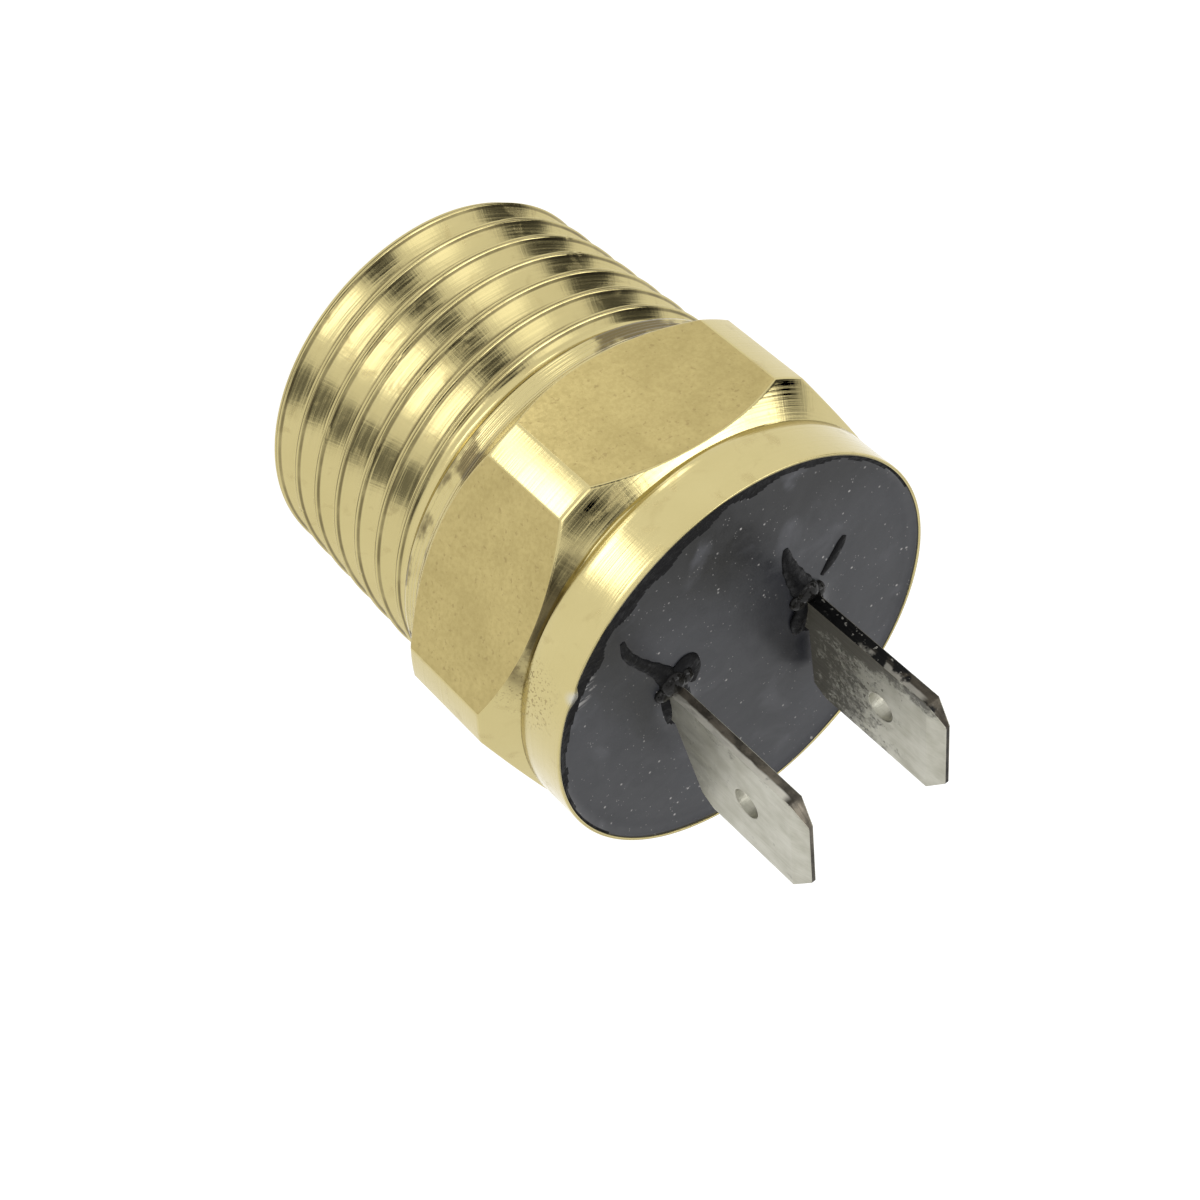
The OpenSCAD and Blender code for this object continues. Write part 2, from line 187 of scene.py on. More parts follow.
class Nodes:
    """Short ways to add shader nodes to one material."""

    def __init__(self, name):
        self.material = bpy.data.materials.new(name)
        self.material.use_nodes = True
        self.tree = self.material.node_tree
        self.shader = self.tree.nodes["Principled BSDF"]
        self.place = self.add("ShaderNodeTexCoord").outputs["Object"]

    def add(self, kind, **settings):
        node = self.tree.nodes.new(kind)
        for key, value in settings.items():
            setattr(node, key, value)
        return node

    def link(self, source, target):
        """Sets a socket to a number or a colour, or links another socket to it."""
        if isinstance(source, (int, float, tuple)):
            target.default_value = source
        else:
            self.tree.links.new(source, target)

    def math(self, operation, a, b=0.0, c=0.0):
        node = self.add("ShaderNodeMath", operation=operation)
        for value, socket in zip((a, b, c), node.inputs):
            self.link(value, socket)
        return node.outputs[0]

    def ramp(self, value, low, high, out_low=0.0, out_high=1.0):
        node = self.add("ShaderNodeMapRange", interpolation_type="SMOOTHSTEP")
        for number, socket in zip((value, low, high, out_low, out_high), node.inputs):
            self.link(number, socket)
        return node.outputs[0]

    def mix(self, share, a, b):
        node = self.add("ShaderNodeMix", data_type="RGBA")
        self.link(share, node.inputs["Factor"])
        self.link(a, node.inputs["A"])
        self.link(b, node.inputs["B"])
        return node.outputs["Result"]

    def stretch(self, x, y, z):
        node = self.add("ShaderNodeMapping")
        node.inputs["Scale"].default_value = (x / MM, y / MM, z / MM)
        self.link(self.place, node.inputs["Vector"])
        return node.outputs["Vector"]

    def noise(self, scale, detail=2.0, vector=None, roughness=0.5, distortion=0.0):
        """Noise with its scale in waves per millimetre."""
        node = self.add("ShaderNodeTexNoise")
        self.link(vector if vector is not None else self.stretch(1, 1, 1), node.inputs["Vector"])
        node.inputs["Scale"].default_value = scale
        node.inputs["Detail"].default_value = detail
        node.inputs["Roughness"].default_value = roughness
        node.inputs["Distortion"].default_value = distortion
        return node.outputs["Fac"]

    def cells(self, scale):
        """Distance to the nearest of many scattered points, with about so many points per millimetre."""
        node = self.add("ShaderNodeTexVoronoi")
        self.link(self.stretch(1, 1, 1), node.inputs["Vector"])
        node.inputs["Scale"].default_value = scale
        return node.outputs["Distance"]

    def across(self, axis):
        """Distance along one axis, 0 for X or 1 for Y, in millimetres."""
        split = self.add("ShaderNodeSeparateXYZ")
        self.link(self.stretch(1, 1, 1), split.inputs[0])
        return split.outputs[axis]

    def around_axis(self, around, along, outwards=0.0):
        """Coordinates that follow the axis: waves per degree, per millimetre of height and of radius."""
        split = self.add("ShaderNodeSeparateXYZ")
        self.link(self.place, split.inputs[0])
        angle = self.math("ARCTAN2", split.outputs[1], split.outputs[0])
        radius = self.math(
            "SQRT",
            self.math(
                "ADD",
                self.math("MULTIPLY", split.outputs[0], split.outputs[0]),
                self.math("MULTIPLY", split.outputs[1], split.outputs[1]),
            ),
        )
        join = self.add("ShaderNodeCombineXYZ")
        self.link(self.math("MULTIPLY", angle, math.degrees(around)), join.inputs[0])
        self.link(self.math("MULTIPLY", split.outputs[2], along / MM), join.inputs[1])
        self.link(self.math("MULTIPLY", radius, outwards / MM), join.inputs[2])
        return join.outputs[0]

    def helix(self, pitch, start_degrees):
        """Share of the pitch, 0 to 1, since the last crest of a right-hand thread."""
        split = self.add("ShaderNodeSeparateXYZ")
        self.link(self.place, split.inputs[0])
        angle = self.math("ARCTAN2", split.outputs[1], split.outputs[0])
        turns = self.math("MULTIPLY_ADD", angle, -0.5 / math.pi, start_degrees / 360)
        return self.math("FRACT", self.math("MULTIPLY_ADD", split.outputs[2], 1 / (pitch * MM), turns))

    def near(self, place, inner, outer, value=1.0):
        """The value within the inner distance of a place, 0 beyond the outer one, in millimetres."""
        away = self.add("ShaderNodeVectorMath", operation="DISTANCE")
        self.link(self.stretch(1, 1, 1), away.inputs[0])
        away.inputs[1].default_value = place
        return self.ramp(away.outputs["Value"], inner, outer, value, 0.0)

    def height(self):
        """Height above the thread end, in millimetres."""
        split = self.add("ShaderNodeSeparateXYZ")
        self.link(self.place, split.inputs[0])
        return self.math("MULTIPLY", split.outputs[2], 1 / MM)

    def set(self, **values):
        names = {
            "color": "Base Color",
            "metallic": "Metallic",
            "roughness": "Roughness",
            "ior": "IOR",
            "specular": "Specular IOR Level",
        }
        for key, value in values.items():
            self.link(value, self.shader.inputs[names[key]])

    def relief(self, value, height_mm):
        """Bump from a 0 to 1 value, with its depth in millimetres; call it again for a finer layer."""
        node = self.add("ShaderNodeBump")
        node.inputs["Strength"].default_value = 1.0
        node.inputs["Distance"].default_value = height_mm * MM
        self.link(value, node.inputs["Height"])
        normal = self.shader.inputs["Normal"]
        if normal.is_linked:
            self.link(normal.links[0].from_socket, node.inputs["Normal"])
        self.link(node.outputs[0], normal)


# --- Columns of the body ---------------------------------------------------------------------------


def body_columns():
    """Angles of the body's columns, in degrees, denser at the twelve edges of the flats."""
    strip_half = math.degrees(math.acos(FLAT_R / CORNER_R))
    edge = [strip_half - 0.7, strip_half - 0.18, strip_half + 0.18, strip_half + 0.7]
    flat = list(np.linspace(0, strip_half - 1.6, 15))
    strip = list(np.linspace(strip_half + 1.7, 30, 4))
    half = flat + edge + strip
    sector = sorted({-v for v in half[:-1]} | set(half))
    return np.array([HEX_TURN + 30 + 60 * k + v for k in range(6) for v in sector])


COLUMNS = body_columns()
ANGLES = np.radians(COLUMNS)
# Angle from the middle of the nearest flat, in degrees
FROM_FLAT = (COLUMNS - HEX_TURN) % 60 - 30
ON_FLAT = np.abs(FROM_FLAT) < math.degrees(math.acos(FLAT_R / CORNER_R))
HEX_R = smooth_min(FLAT_R / np.cos(np.radians(FROM_FLAT)), CORNER_R, 0.03)


# --- Materials -------------------------------------------------------------------------------------


def turned_brass():
    """Bright lathe-turned brass: fine rings round the axis, chatter across them, a thin patina, and
    painted shade in the thread's grooves and in the groove below the collar.
    """
    n = Nodes("turned_brass")
    rings = n.noise(1.0, 3.0, n.around_axis(0.02, 9.0, 9.0))
    chatter = n.noise(1.0, 3.0, n.around_axis(1.3, 0.4, 0.4))
    cloud = n.noise(0.35, 4.0)
    stain = n.ramp(n.noise(0.9, 5.0, distortion=0.6), 0.56, 0.72)
    color = n.mix(cloud, (0.515, 0.437, 0.200, 1), (0.580, 0.498, 0.245, 1))
    color = n.mix(n.math("MULTIPLY", stain, 0.30), color, (0.40, 0.32, 0.14, 1))
    height = n.height()
    phase = n.helix(THREAD_PITCH, COLUMNS[0])
    # Painted shade: dark lines in the crest's groove, beside the crest on the flank, and in the thread's
    # root.
    thread_groove_shade = 0.0
    for at, width in ((0.078, 0.030), (0.190, 0.045), (0.64, 0.09)):
        off = n.math("ABSOLUTE", n.math("SUBTRACT", phase, at))
        thread_groove_shade = n.math("MAXIMUM", thread_groove_shade, n.ramp(off, 0.3 * width, width, 1.0, 0.0))
    thread_groove_shade = n.math("MULTIPLY", thread_groove_shade, n.ramp(n.noise(0.6, 4.0), 0.25, 0.65, 0.50, 0.90))
    thread_groove_shade = n.math("MULTIPLY", thread_groove_shade, n.ramp(height, THREAD_LEN - 0.3, THREAD_LEN - 0.1, 1.0, 0.0))
    color = n.mix(thread_groove_shade, color, (0.15, 0.12, 0.055, 1))
    in_neck = n.math(
        "MULTIPLY",
        n.ramp(height, THREAD_LEN - 0.2, THREAD_LEN + 0.1),
        n.ramp(height, CHAMFER_Z - 0.1, CHAMFER_Z + 0.2, 1.0, 0.0),
    )
    smudge = n.ramp(n.noise(1.0, 5.0, n.around_axis(0.045, 0.35)), 0.52, 0.60)
    # Painted shade in the groove between the hexagon and the collar, on one side only.
    in_groove = n.math(
        "MULTIPLY",
        n.ramp(height, GROOVE_Z - 0.85, GROOVE_Z - 0.55),
        n.ramp(height, GROOVE_Z, GROOVE_Z + 0.15, 1.0, 0.0),
    )
    in_groove = n.math("MULTIPLY", in_groove, n.near(GROOVE_SHADE_PLACE, 2.5, 4.5))
    in_groove = n.math("MULTIPLY", in_groove, n.ramp(n.noise(0.8, 4.0), 0.35, 0.55, 0.4, 0.95))
    # Random smudges on the neck, together with the painted shade of that groove.
    dirt = n.math("MAXIMUM", n.math("MULTIPLY", smudge, in_neck), in_groove)
    color = n.mix(dirt, color, (0.17, 0.135, 0.065, 1))
    pits = n.math("MULTIPLY", n.ramp(n.noise(7.5, 2.0), 0.58, 0.66), n.near(PITTED_PLACE, 0.8, 2.6))
    color = n.mix(n.math("MULTIPLY", pits, 0.6), color, (0.24, 0.18, 0.08, 1))
    color = n.mix(n.near(NICK_PLACE, 0.1, 0.6), color, (0.60, 0.58, 0.50, 1))
    n.set(color=color, metallic=1.0)
    n.set(roughness=n.ramp(n.math("ADD", rings, n.math("MULTIPLY", stain, 0.3)), 0.3, 0.9, 0.11, 0.28))
    n.relief(rings, 0.008)
    n.relief(chatter, 0.003)
    n.relief(pits, 0.008)
    return n.material


def milled_brass():
    """Matt brass of the hexagon's flats: drawn bar stock, dull and slightly mottled."""
    n = Nodes("milled_brass")
    cloud = n.noise(0.5, 5.0, roughness=0.6)
    grain = n.noise(4.5, 4.0, roughness=0.65)
    drawn = n.noise(1.0, 3.0, n.stretch(5.0, 5.0, 0.25))
    color = n.mix(n.ramp(cloud, 0.3, 0.7), (0.430, 0.348, 0.145, 1), (0.490, 0.400, 0.172, 1))
    specks = n.ramp(n.noise(4.2, 3.0), 0.62, 0.70)
    color = n.mix(n.ramp(grain, 0.30, 0.70, 0.0, 0.22), color, (0.30, 0.235, 0.085, 1))
    color = n.mix(n.math("MULTIPLY", specks, 0.45), color, (0.26, 0.19, 0.08, 1))
    n.set(color=color, metallic=1.0)
    n.set(roughness=n.ramp(grain, 0.2, 0.8, 0.36, 0.52))
    n.relief(grain, 0.010)
    n.relief(drawn, 0.006)
    return n.material


def epoxy():
    """Black potting resin, half gloss, with dust and small bubbles in its skin, and painted shade that
    darkens it towards +Y.
    """
    n = Nodes("black_epoxy")
    cloud = n.noise(0.25, 3.0)
    color = n.mix(cloud, (0.014, 0.015, 0.018, 1), (0.026, 0.027, 0.033, 1))
    # Painted shade: the resin darkens towards +Y, from 3 to 8 mm.
    color = n.mix(n.ramp(n.across(1), 3.0, 8.0), color, (0.004, 0.004, 0.005, 1))
    haze = n.ramp(n.noise(0.30, 4.0, distortion=0.5), 0.54, 0.72)
    color = n.mix(haze, color, (0.046, 0.047, 0.054, 1))
    dust = n.cells(1.7)
    speck = n.ramp(dust, 0.05, 0.16, 1.0, 0.0)
    chosen = n.ramp(n.noise(1.1, 2.0), 0.52, 0.58)
    fine = n.cells(5.0)
    fine_speck = n.ramp(fine, 0.08, 0.22, 0.7, 0.0)
    fine_chosen = n.ramp(n.noise(1.9, 2.0, n.stretch(1.1, 0.9, 1)), 0.54, 0.62)
    fine_speck = n.math("MULTIPLY", fine_speck, fine_chosen)
    speck = n.math("MAXIMUM", n.math("MULTIPLY", speck, chosen), fine_speck)
    scratch = n.ramp(n.noise(1.0, 3.0, n.stretch(1.2, 6.0, 1.0)), 0.52, 0.58)
    speck = n.math("MAXIMUM", speck, n.math("MULTIPLY", scratch, n.near(NICK_PLACE, 0.8, 1.5)))
    color = n.mix(speck, color, (0.30, 0.29, 0.28, 1))
    smear = n.ramp(n.noise(0.8, 5.0, distortion=0.8), 0.35, 0.75)
    n.set(color=color, roughness=n.ramp(smear, 0.0, 1.0, 0.30, 0.40), ior=1.50)
    n.relief(n.noise(0.35, 2.0), 0.08)
    n.relief(n.noise(1.3, 3.0), 0.003)
    n.relief(n.noise(6.0, 2.0), 0.0012)
    return n.material


def painted_shade_epoxy():
    """The resin's near-black skin of painted shade: by the rim and round the terminals."""
    n = Nodes("painted_shade_black_epoxy")
    n.set(color=n.mix(n.noise(2.5, 4.0), (0.002, 0.002, 0.002, 1), (0.008, 0.008, 0.009, 1)))
    n.set(roughness=n.ramp(n.noise(3.0, 3.0), 0.35, 0.65, 0.30, 0.60), specular=0.10, ior=1.45)
    n.relief(n.noise(1.8, 4.0), 0.10)
    return n.material


def wet_epoxy():
    """Glossy black resin of the lumps at the feet of the terminals."""
    n = Nodes("wet_black_epoxy")
    n.set(color=n.mix(n.noise(2.0, 4.0), (0.003, 0.003, 0.003, 1), (0.012, 0.011, 0.010, 1)))
    n.set(roughness=n.ramp(n.noise(2.5, 3.0), 0.35, 0.65, 0.06, 0.16), specular=0.22, ior=1.45)
    n.relief(n.noise(1.6, 3.0), 0.10)
    return n.material


def tin(name, dirt):
    """Tin-plated strip: soft grey-cream metal with rolling lines and resin residue near its base."""
    n = Nodes(name)
    rolled = n.noise(1.0, 4.0, n.stretch(9.0, 9.0, 0.6))
    cloud = n.noise(0.8, 4.0)
    color = n.mix(n.ramp(cloud, 0.3, 0.7), (0.40, 0.39, 0.32, 1), (0.50, 0.49, 0.42, 1))
    low = n.ramp(n.height(), BODY_H + 0.5, BODY_H + 8.5, dirt, 0.0)
    by_edge = n.ramp(n.across(1), STEM_Y - 0.4, BLADE_SIDE_Y, 0.0, 0.9 * dirt)
    marks = n.math("ADD", n.noise(1.5, 8.0, roughness=0.74), n.math("ADD", low, by_edge))
    blotch = n.ramp(marks, 0.62, 0.82)
    specks = n.ramp(n.math("ADD", n.noise(3.4, 4.0), low), 0.78, 0.84)
    blotch = n.math("MAXIMUM", blotch, specks)
    color = n.mix(n.math("MULTIPLY", blotch, 0.92), color, (0.060, 0.055, 0.040, 1))
    n.set(color=color, metallic=n.ramp(blotch, 0.2, 0.9, 0.85, 0.2))
    n.set(roughness=n.ramp(rolled, 0.3, 0.7, 0.40, 0.56))
    n.relief(rolled, 0.004)
    n.relief(n.noise(0.5, 3.0), 0.05)
    n.relief(blotch, 0.012)
    return n.material


def punched_side(name, middle, dark, light, dirt):
    """The sheared side of the strip, where the plating is thin: brownish, with score lines across it,
    and a painted highlight along one half of it near the tip.
    """
    n = Nodes(name)
    score = n.noise(1.0, 4.0, n.stretch(9.0, 1.0, 1.6))
    blotch = n.ramp(n.noise(0.9, 5.0, roughness=0.6), 0.35, 0.65)
    color = n.mix(blotch, (*dark, 1), (*light, 1))
    low = n.ramp(n.height(), BODY_H + 3.0, BODY_H + 9.0, dirt, 0.0)
    residue = n.ramp(n.math("ADD", n.noise(1.2, 6.0), low), 0.60, 0.72)
    across = n.math("SUBTRACT", n.across(0), middle)
    across = n.math("MULTIPLY_ADD", n.noise(1.6, 4.0), 0.16, across)
    # Painted highlight: a pale band along one half of the side near the tip.
    painted_highlight = n.ramp(n.height(), BLADE_TIP - 1.6, BLADE_TIP - 1.1, 1.0 - 2 * dirt, 0.0)
    painted_highlight = n.math("MULTIPLY", painted_highlight, n.ramp(across, -0.04, 0.08, 1.0, 0.0))
    color = n.mix(painted_highlight, color, (0.58, 0.56, 0.49, 1))
    color = n.mix(residue, color, (0.006, 0.006, 0.006, 1))
    specks = n.math("MULTIPLY", residue, n.ramp(n.noise(4.5, 3.0), 0.62, 0.70))
    n.set(color=n.mix(specks, color, (0.30, 0.29, 0.26, 1)), metallic=0.85)
    n.set(roughness=n.ramp(score, 0.3, 0.7, 0.35, 0.60))
    n.relief(score, 0.02)
    return n.material


def plain_metal(name, dark, light, roughness, grain=(6.0, 6.0, 6.0), depth=0.003):
    """A metal with a fine grain that varies its colour, gloss and relief."""
    n = Nodes(name)
    marks = n.noise(1.0, 4.0, n.stretch(*grain))
    cloud = n.noise(0.7, 3.0)
    n.set(color=n.mix(n.ramp(cloud, 0.3, 0.7), (*dark, 1), (*light, 1)), metallic=1.0)
    n.set(roughness=n.ramp(marks, 0.25, 0.75, roughness * 0.75, roughness * 1.25))
    n.relief(marks, depth)
    return n.material


def ringed_metal(name, dark, light, roughness):
    """A turned inner part, with its tool marks round the axis."""
    n = Nodes(name)
    rings = n.noise(1.0, 3.0, n.around_axis(0.02, 8.0, 8.0))
    cloud = n.noise(0.6, 3.0)
    n.set(color=n.mix(n.ramp(cloud, 0.3, 0.7), (*dark, 1), (*light, 1)), metallic=1.0)
    n.set(roughness=n.ramp(rings, 0.25, 0.75, roughness * 0.7, roughness * 1.3))
    n.relief(rings, 0.006)
    return n.material


def sintered_bronze():
    """Porous bronze: round grains with dark pores between them."""
    n = Nodes("sintered_bronze")
    grains = n.cells(3.2)
    pore = n.ramp(grains, 0.35, 0.62)
    color = n.mix(pore, (0.62, 0.40, 0.18, 1), (0.10, 0.06, 0.03, 1))
    n.set(color=color, metallic=1.0, roughness=n.ramp(pore, 0.0, 1.0, 0.38, 0.75))
    n.relief(n.math("SUBTRACT", 1.0, grains), 0.12)
    return n.material


def moulded(name, dark, light, roughness, grain_depth):
    """A moulded plastic or rubber with a fine matt skin."""
    n = Nodes(name)
    skin = n.noise(9.0, 4.0)
    flow = n.noise(0.5, 3.0, distortion=1.0)
    n.set(color=n.mix(n.ramp(flow, 0.3, 0.7), (*dark, 1), (*light, 1)))
    n.set(roughness=n.ramp(skin, 0.3, 0.7, roughness * 0.85, roughness * 1.15))
    n.relief(skin, grain_depth)
    return n.material


MATERIALS = {
    "turned_brass": turned_brass(),
    "milled_brass": milled_brass(),
    "epoxy": epoxy(),
    "painted_shade_epoxy": painted_shade_epoxy(),
    "wet_epoxy": wet_epoxy(),
    "tin_clean": tin("tin_plate_clean", 0.06),
    "tin_stained": tin("tin_plate_stained", 0.30),
    "sides_clean": punched_side(
        "punched_side_clean", -BLADE_X, (0.050, 0.045, 0.036), (0.16, 0.14, 0.11), 0.0
    ),
    "sides_stained": punched_side(
        "punched_side_stained", BLADE_X, (0.020, 0.018, 0.015), (0.07, 0.06, 0.045), 0.30
    ),
    "inner_brass": ringed_metal("inner_brass", (0.62, 0.47, 0.18), (0.80, 0.64, 0.29), 0.26),
    "sintered": sintered_bronze(),
    "bronze": plain_metal("contact_bronze", (0.60, 0.36, 0.20), (0.74, 0.50, 0.30), 0.28, (8, 1, 8)),
    "spring_steel": plain_metal("spring_steel", (0.40, 0.40, 0.40), (0.58, 0.58, 0.57), 0.22),
    "screw_steel": plain_metal("screw_steel", (0.48, 0.49, 0.50), (0.66, 0.67, 0.68), 0.30),
    "diaphragm_steel": plain_metal(
        "diaphragm_steel", (0.55, 0.55, 0.54), (0.68, 0.68, 0.67), 0.2, (12, 1.2, 12)
    ),
    "silver": plain_metal("contact_silver", (0.74, 0.73, 0.70), (0.88, 0.87, 0.84), 0.18),
    "rubber": moulded("seal_rubber", (0.010, 0.010, 0.011), (0.022, 0.022, 0.023), 0.55, 0.006),
    "moulding": moulded("glass_filled_moulding", (0.030, 0.024, 0.020), (0.06, 0.05, 0.042), 0.5, 0.008),
}


# --- Brass body ------------------------------------------------------------------------------------


def sphere_through(r1, z1, r2, z2):
    """Centre height and radius of the sphere on the axis that passes through two circles."""
    centre = (r2**2 + z2**2 - r1**2 - z1**2) / (2 * (z2 - z1))
    return centre, math.hypot(r1, z1 - centre)


def thread_profile():
    """Share of the pitch and height of the thread's profile, from one crest to the next."""
    crest = [(0.0, 0.93), (0.012, 0.985), (0.026, 1.0), (0.040, 0.985), (0.060, 0.935)]
    crest += [(0.078, 0.920), (0.096, 0.935), (0.116, 0.985), (0.130, 1.0), (0.144, 0.985)]
    crest += [(0.156, 0.93)]
    edge_level, root_level, hollow = 0.93, 0.04, 0.04
    fall = []
    for s in (0.172, 0.23, 0.30, 0.37, 0.44, 0.51, 0.58):
        t = (s - 0.156) / 0.444
        drop = t + hollow * math.sin(math.pi * t)
        fall.append((s, edge_level - (edge_level - root_level) * drop))
    root = [(0.602, 0.030), (0.622, 0.006), (0.640, 0.0), (0.658, 0.006), (0.678, 0.030)]
    climb = (edge_level - root_level) / 0.32
    rise = [(s, root_level + climb * (s - 0.68)) for s in (0.70, 0.78, 0.86, 0.94, 0.985)]
    return crest + fall + root + rise


def lead_radius(z):
    """The chamfer that leads into the thread."""
    return LEAD_R + LEAD_SLOPE * z


def thread_section(points, start_ring, end_ring, low, high):
    """Helical rows between two plain rings. A row that leaves the threaded length joins a ring."""
    profile = thread_profile()
    per_turn = len(profile)
    turns = math.ceil(THREAD_LEN / THREAD_PITCH) + 2
    count = per_turn * turns
    columns = len(ANGLES)
    share = (ANGLES - ANGLES[0]) / (2 * math.pi)
    nicks = rng.normal(0, 1, (turns + 1, columns))
    nicks = np.clip((nicks + np.roll(nicks, 1, 1)) * 0.5 - 1.35, 0, 1)
    rows = np.zeros((count, columns), int)
    for i in range(count):
        turn, (offset, level) = i // per_turn, profile[i % per_turn]
        z = (turn + offset + share - 1) * THREAD_PITCH
        fade = np.clip((THREAD_LEN - z) / THREAD_RUNOUT, 0, 1)
        r = THREAD_CREST_R + z * THREAD_TAPER - (1 - level) * THREAD_DEPTH * fade
        r -= 0.05 * nicks[turn] * (level > 0.9)
        r = smooth_min(r, lead_radius(z), 0.2)
        for j in range(columns):
            if z[j] <= low:
                rows[i, j] = start_ring[j]
            elif z[j] >= high:
                rows[i, j] = end_ring[j]
            else:
                rows[i, j] = len(points)
                points.append((r[j] * math.cos(ANGLES[j]), r[j] * math.sin(ANGLES[j]), z[j]))
    faces = []
    for i in range(count - per_turn - 1):
        near = list(rows[i]) + [rows[i + per_turn, 0]]
        far = list(rows[i + 1]) + [rows[i + 1 + per_turn, 0]]
        faces += ring_faces(near, far)
    return faces


def neck_rings():
    """Neck between the thread and the hexagon, with the fine grooves of the turning tool."""
    rings = []
    neck_r = THREAD_CREST_R + THREAD_LEN * THREAD_TAPER + 0.16
    for t in np.linspace(0, 1, 26):
        z = THREAD_LEN + 0.03 + t * (CHAMFER_Z - THREAD_LEN - 0.05)
        coarse = 0.022 * math.sin(2 * math.pi * z / 0.21)
        groove = coarse + 0.016 * math.sin(2 * math.pi * z / 0.083)
        r = neck_r + groove * (1 - t**4) + (SHOULDER_R - neck_r) * np.clip(4 * t - 3, 0, 1)
        rings.append((np.full(len(ANGLES), z), np.full(len(ANGLES), r)))
    return rings


def hexagon_rings():
    """Round-off below the flats, the flats with their turned corners, and the round-off above."""
    low_c, low_r = sphere_through(SHOULDER_R, CHAMFER_Z, CORNER_R, CORNER_LOW_Z)
    high_c, high_r = sphere_through(GROOVE_R, GROOVE_Z, CORNER_R, CORNER_HIGH_Z)
    z_low = low_c - np.sqrt(low_r**2 - HEX_R**2)
    z_high = high_c + np.sqrt(high_r**2 - HEX_R**2)
    rings = []
    for t in (0.0, 0.25, 0.5, 0.75, 0.9, 0.97):
        z = CHAMFER_Z + t * (z_low - CHAMFER_Z)
        rings.append((z, np.sqrt(low_r**2 - (z - low_c) ** 2)))
    first_flat = len(rings)
    for offset in (0.03, 0.13):
        rings.append((z_low + offset, HEX_R - 0.004 * (offset < 0.1)))
    for t in np.linspace(0.06, 0.94, 9):
        rings.append((z_low + t * (z_high - z_low), HEX_R))
    for offset in (0.13, 0.03):
        rings.append((z_high - offset, HEX_R - 0.004 * (offset < 0.1)))
    last_flat = len(rings)
    for t in (0.03, 0.1, 0.25, 0.5, 0.75, 0.92, 1.0):
        z = z_high + t * (GROOVE_Z - z_high)
        rings.append((z, np.sqrt(high_r**2 - (z - high_c) ** 2)))
    return rings, first_flat, last_flat


def plain_rings(profile):
    """Rings of one radius each, from a list of (z, r)."""
    return [(np.full(len(ANGLES), z), np.full(len(ANGLES), r)) for z, r in profile]


def fillet(z0, r0, z1, r1, z2, r2, size, steps=1):
    """Points that round the corner (z1, r1) between two straight lines."""
    a, b, c = np.array([z0, r0]), np.array([z1, r1]), np.array([z2, r2])
    p = b + (a - b) / np.linalg.norm(a - b) * size
    q = b + (c - b) / np.linalg.norm(c - b) * size
    out = []
    for t in np.linspace(0, 1, steps + 1):
        out.append(tuple((1 - t) ** 2 * p + 2 * t * (1 - t) * b + t**2 * q))
    return out


def rounded(corners, size, steps=1):
    """A line through corners (z, r), each inner corner rounded."""
    out = [corners[0]]
    for before, at, after in zip(corners, corners[1:], corners[2:]):
        out += fillet(*before, *at, *after, size, steps)
    return out + [corners[-1]]


def end_face():
    """Thread end from the port's edge outwards, with the tool's faint rings."""
    ring_h, ring_pitch = 0.006, 0.42
    radii = np.linspace(PORT_EDGE_R + 0.05, LEAD_R - 0.2, 20)
    return [(ring_h * (1 + math.sin(2 * math.pi * r / ring_pitch)), r) for r in radii]


def rim_and_bores():
    """Collar's top edge, the lip, the cup and the bores down to the port."""
    outer = rounded([(COLLAR_Z + 0.1, COLLAR_R), (BODY_H, COLLAR_R), (BODY_H, LIP_R)], 0.05, 3)
    outer = [(z, r) for z, r in outer if r > LIP_R + 0.03]
    inside = rounded(
        [
            (BODY_H, LIP_R + 0.02),
            (BODY_H - 0.03, LIP_R),
            (BODY_H - LIP_DEPTH, LIP_WALL_R),
            (BODY_H - LIP_DEPTH - 0.06, CUP_R),
            *BORES,
        ],
        0.02,
    )
    return outer, inside


def nicked(rings, inwards):
    """Rings of the rim with the small dent of the real rim: its edge is pushed in over the resin."""
    away = np.abs(COLUMNS % 360 - NICK_ANGLE)
    dent = bump(away, 2.4)
    return [(z - 0.03 * dent, r - inwards * dent) for z, r in rings]


def add_rings(rings, points):
    """Adds rings of points and returns their closed number lists."""
    numbers = []
    for z, r in rings:
        start = len(points)
        points += list(zip(r * np.cos(ANGLES), r * np.sin(ANGLES), z))
        numbers.append(list(range(start, len(points))))
    return numbers


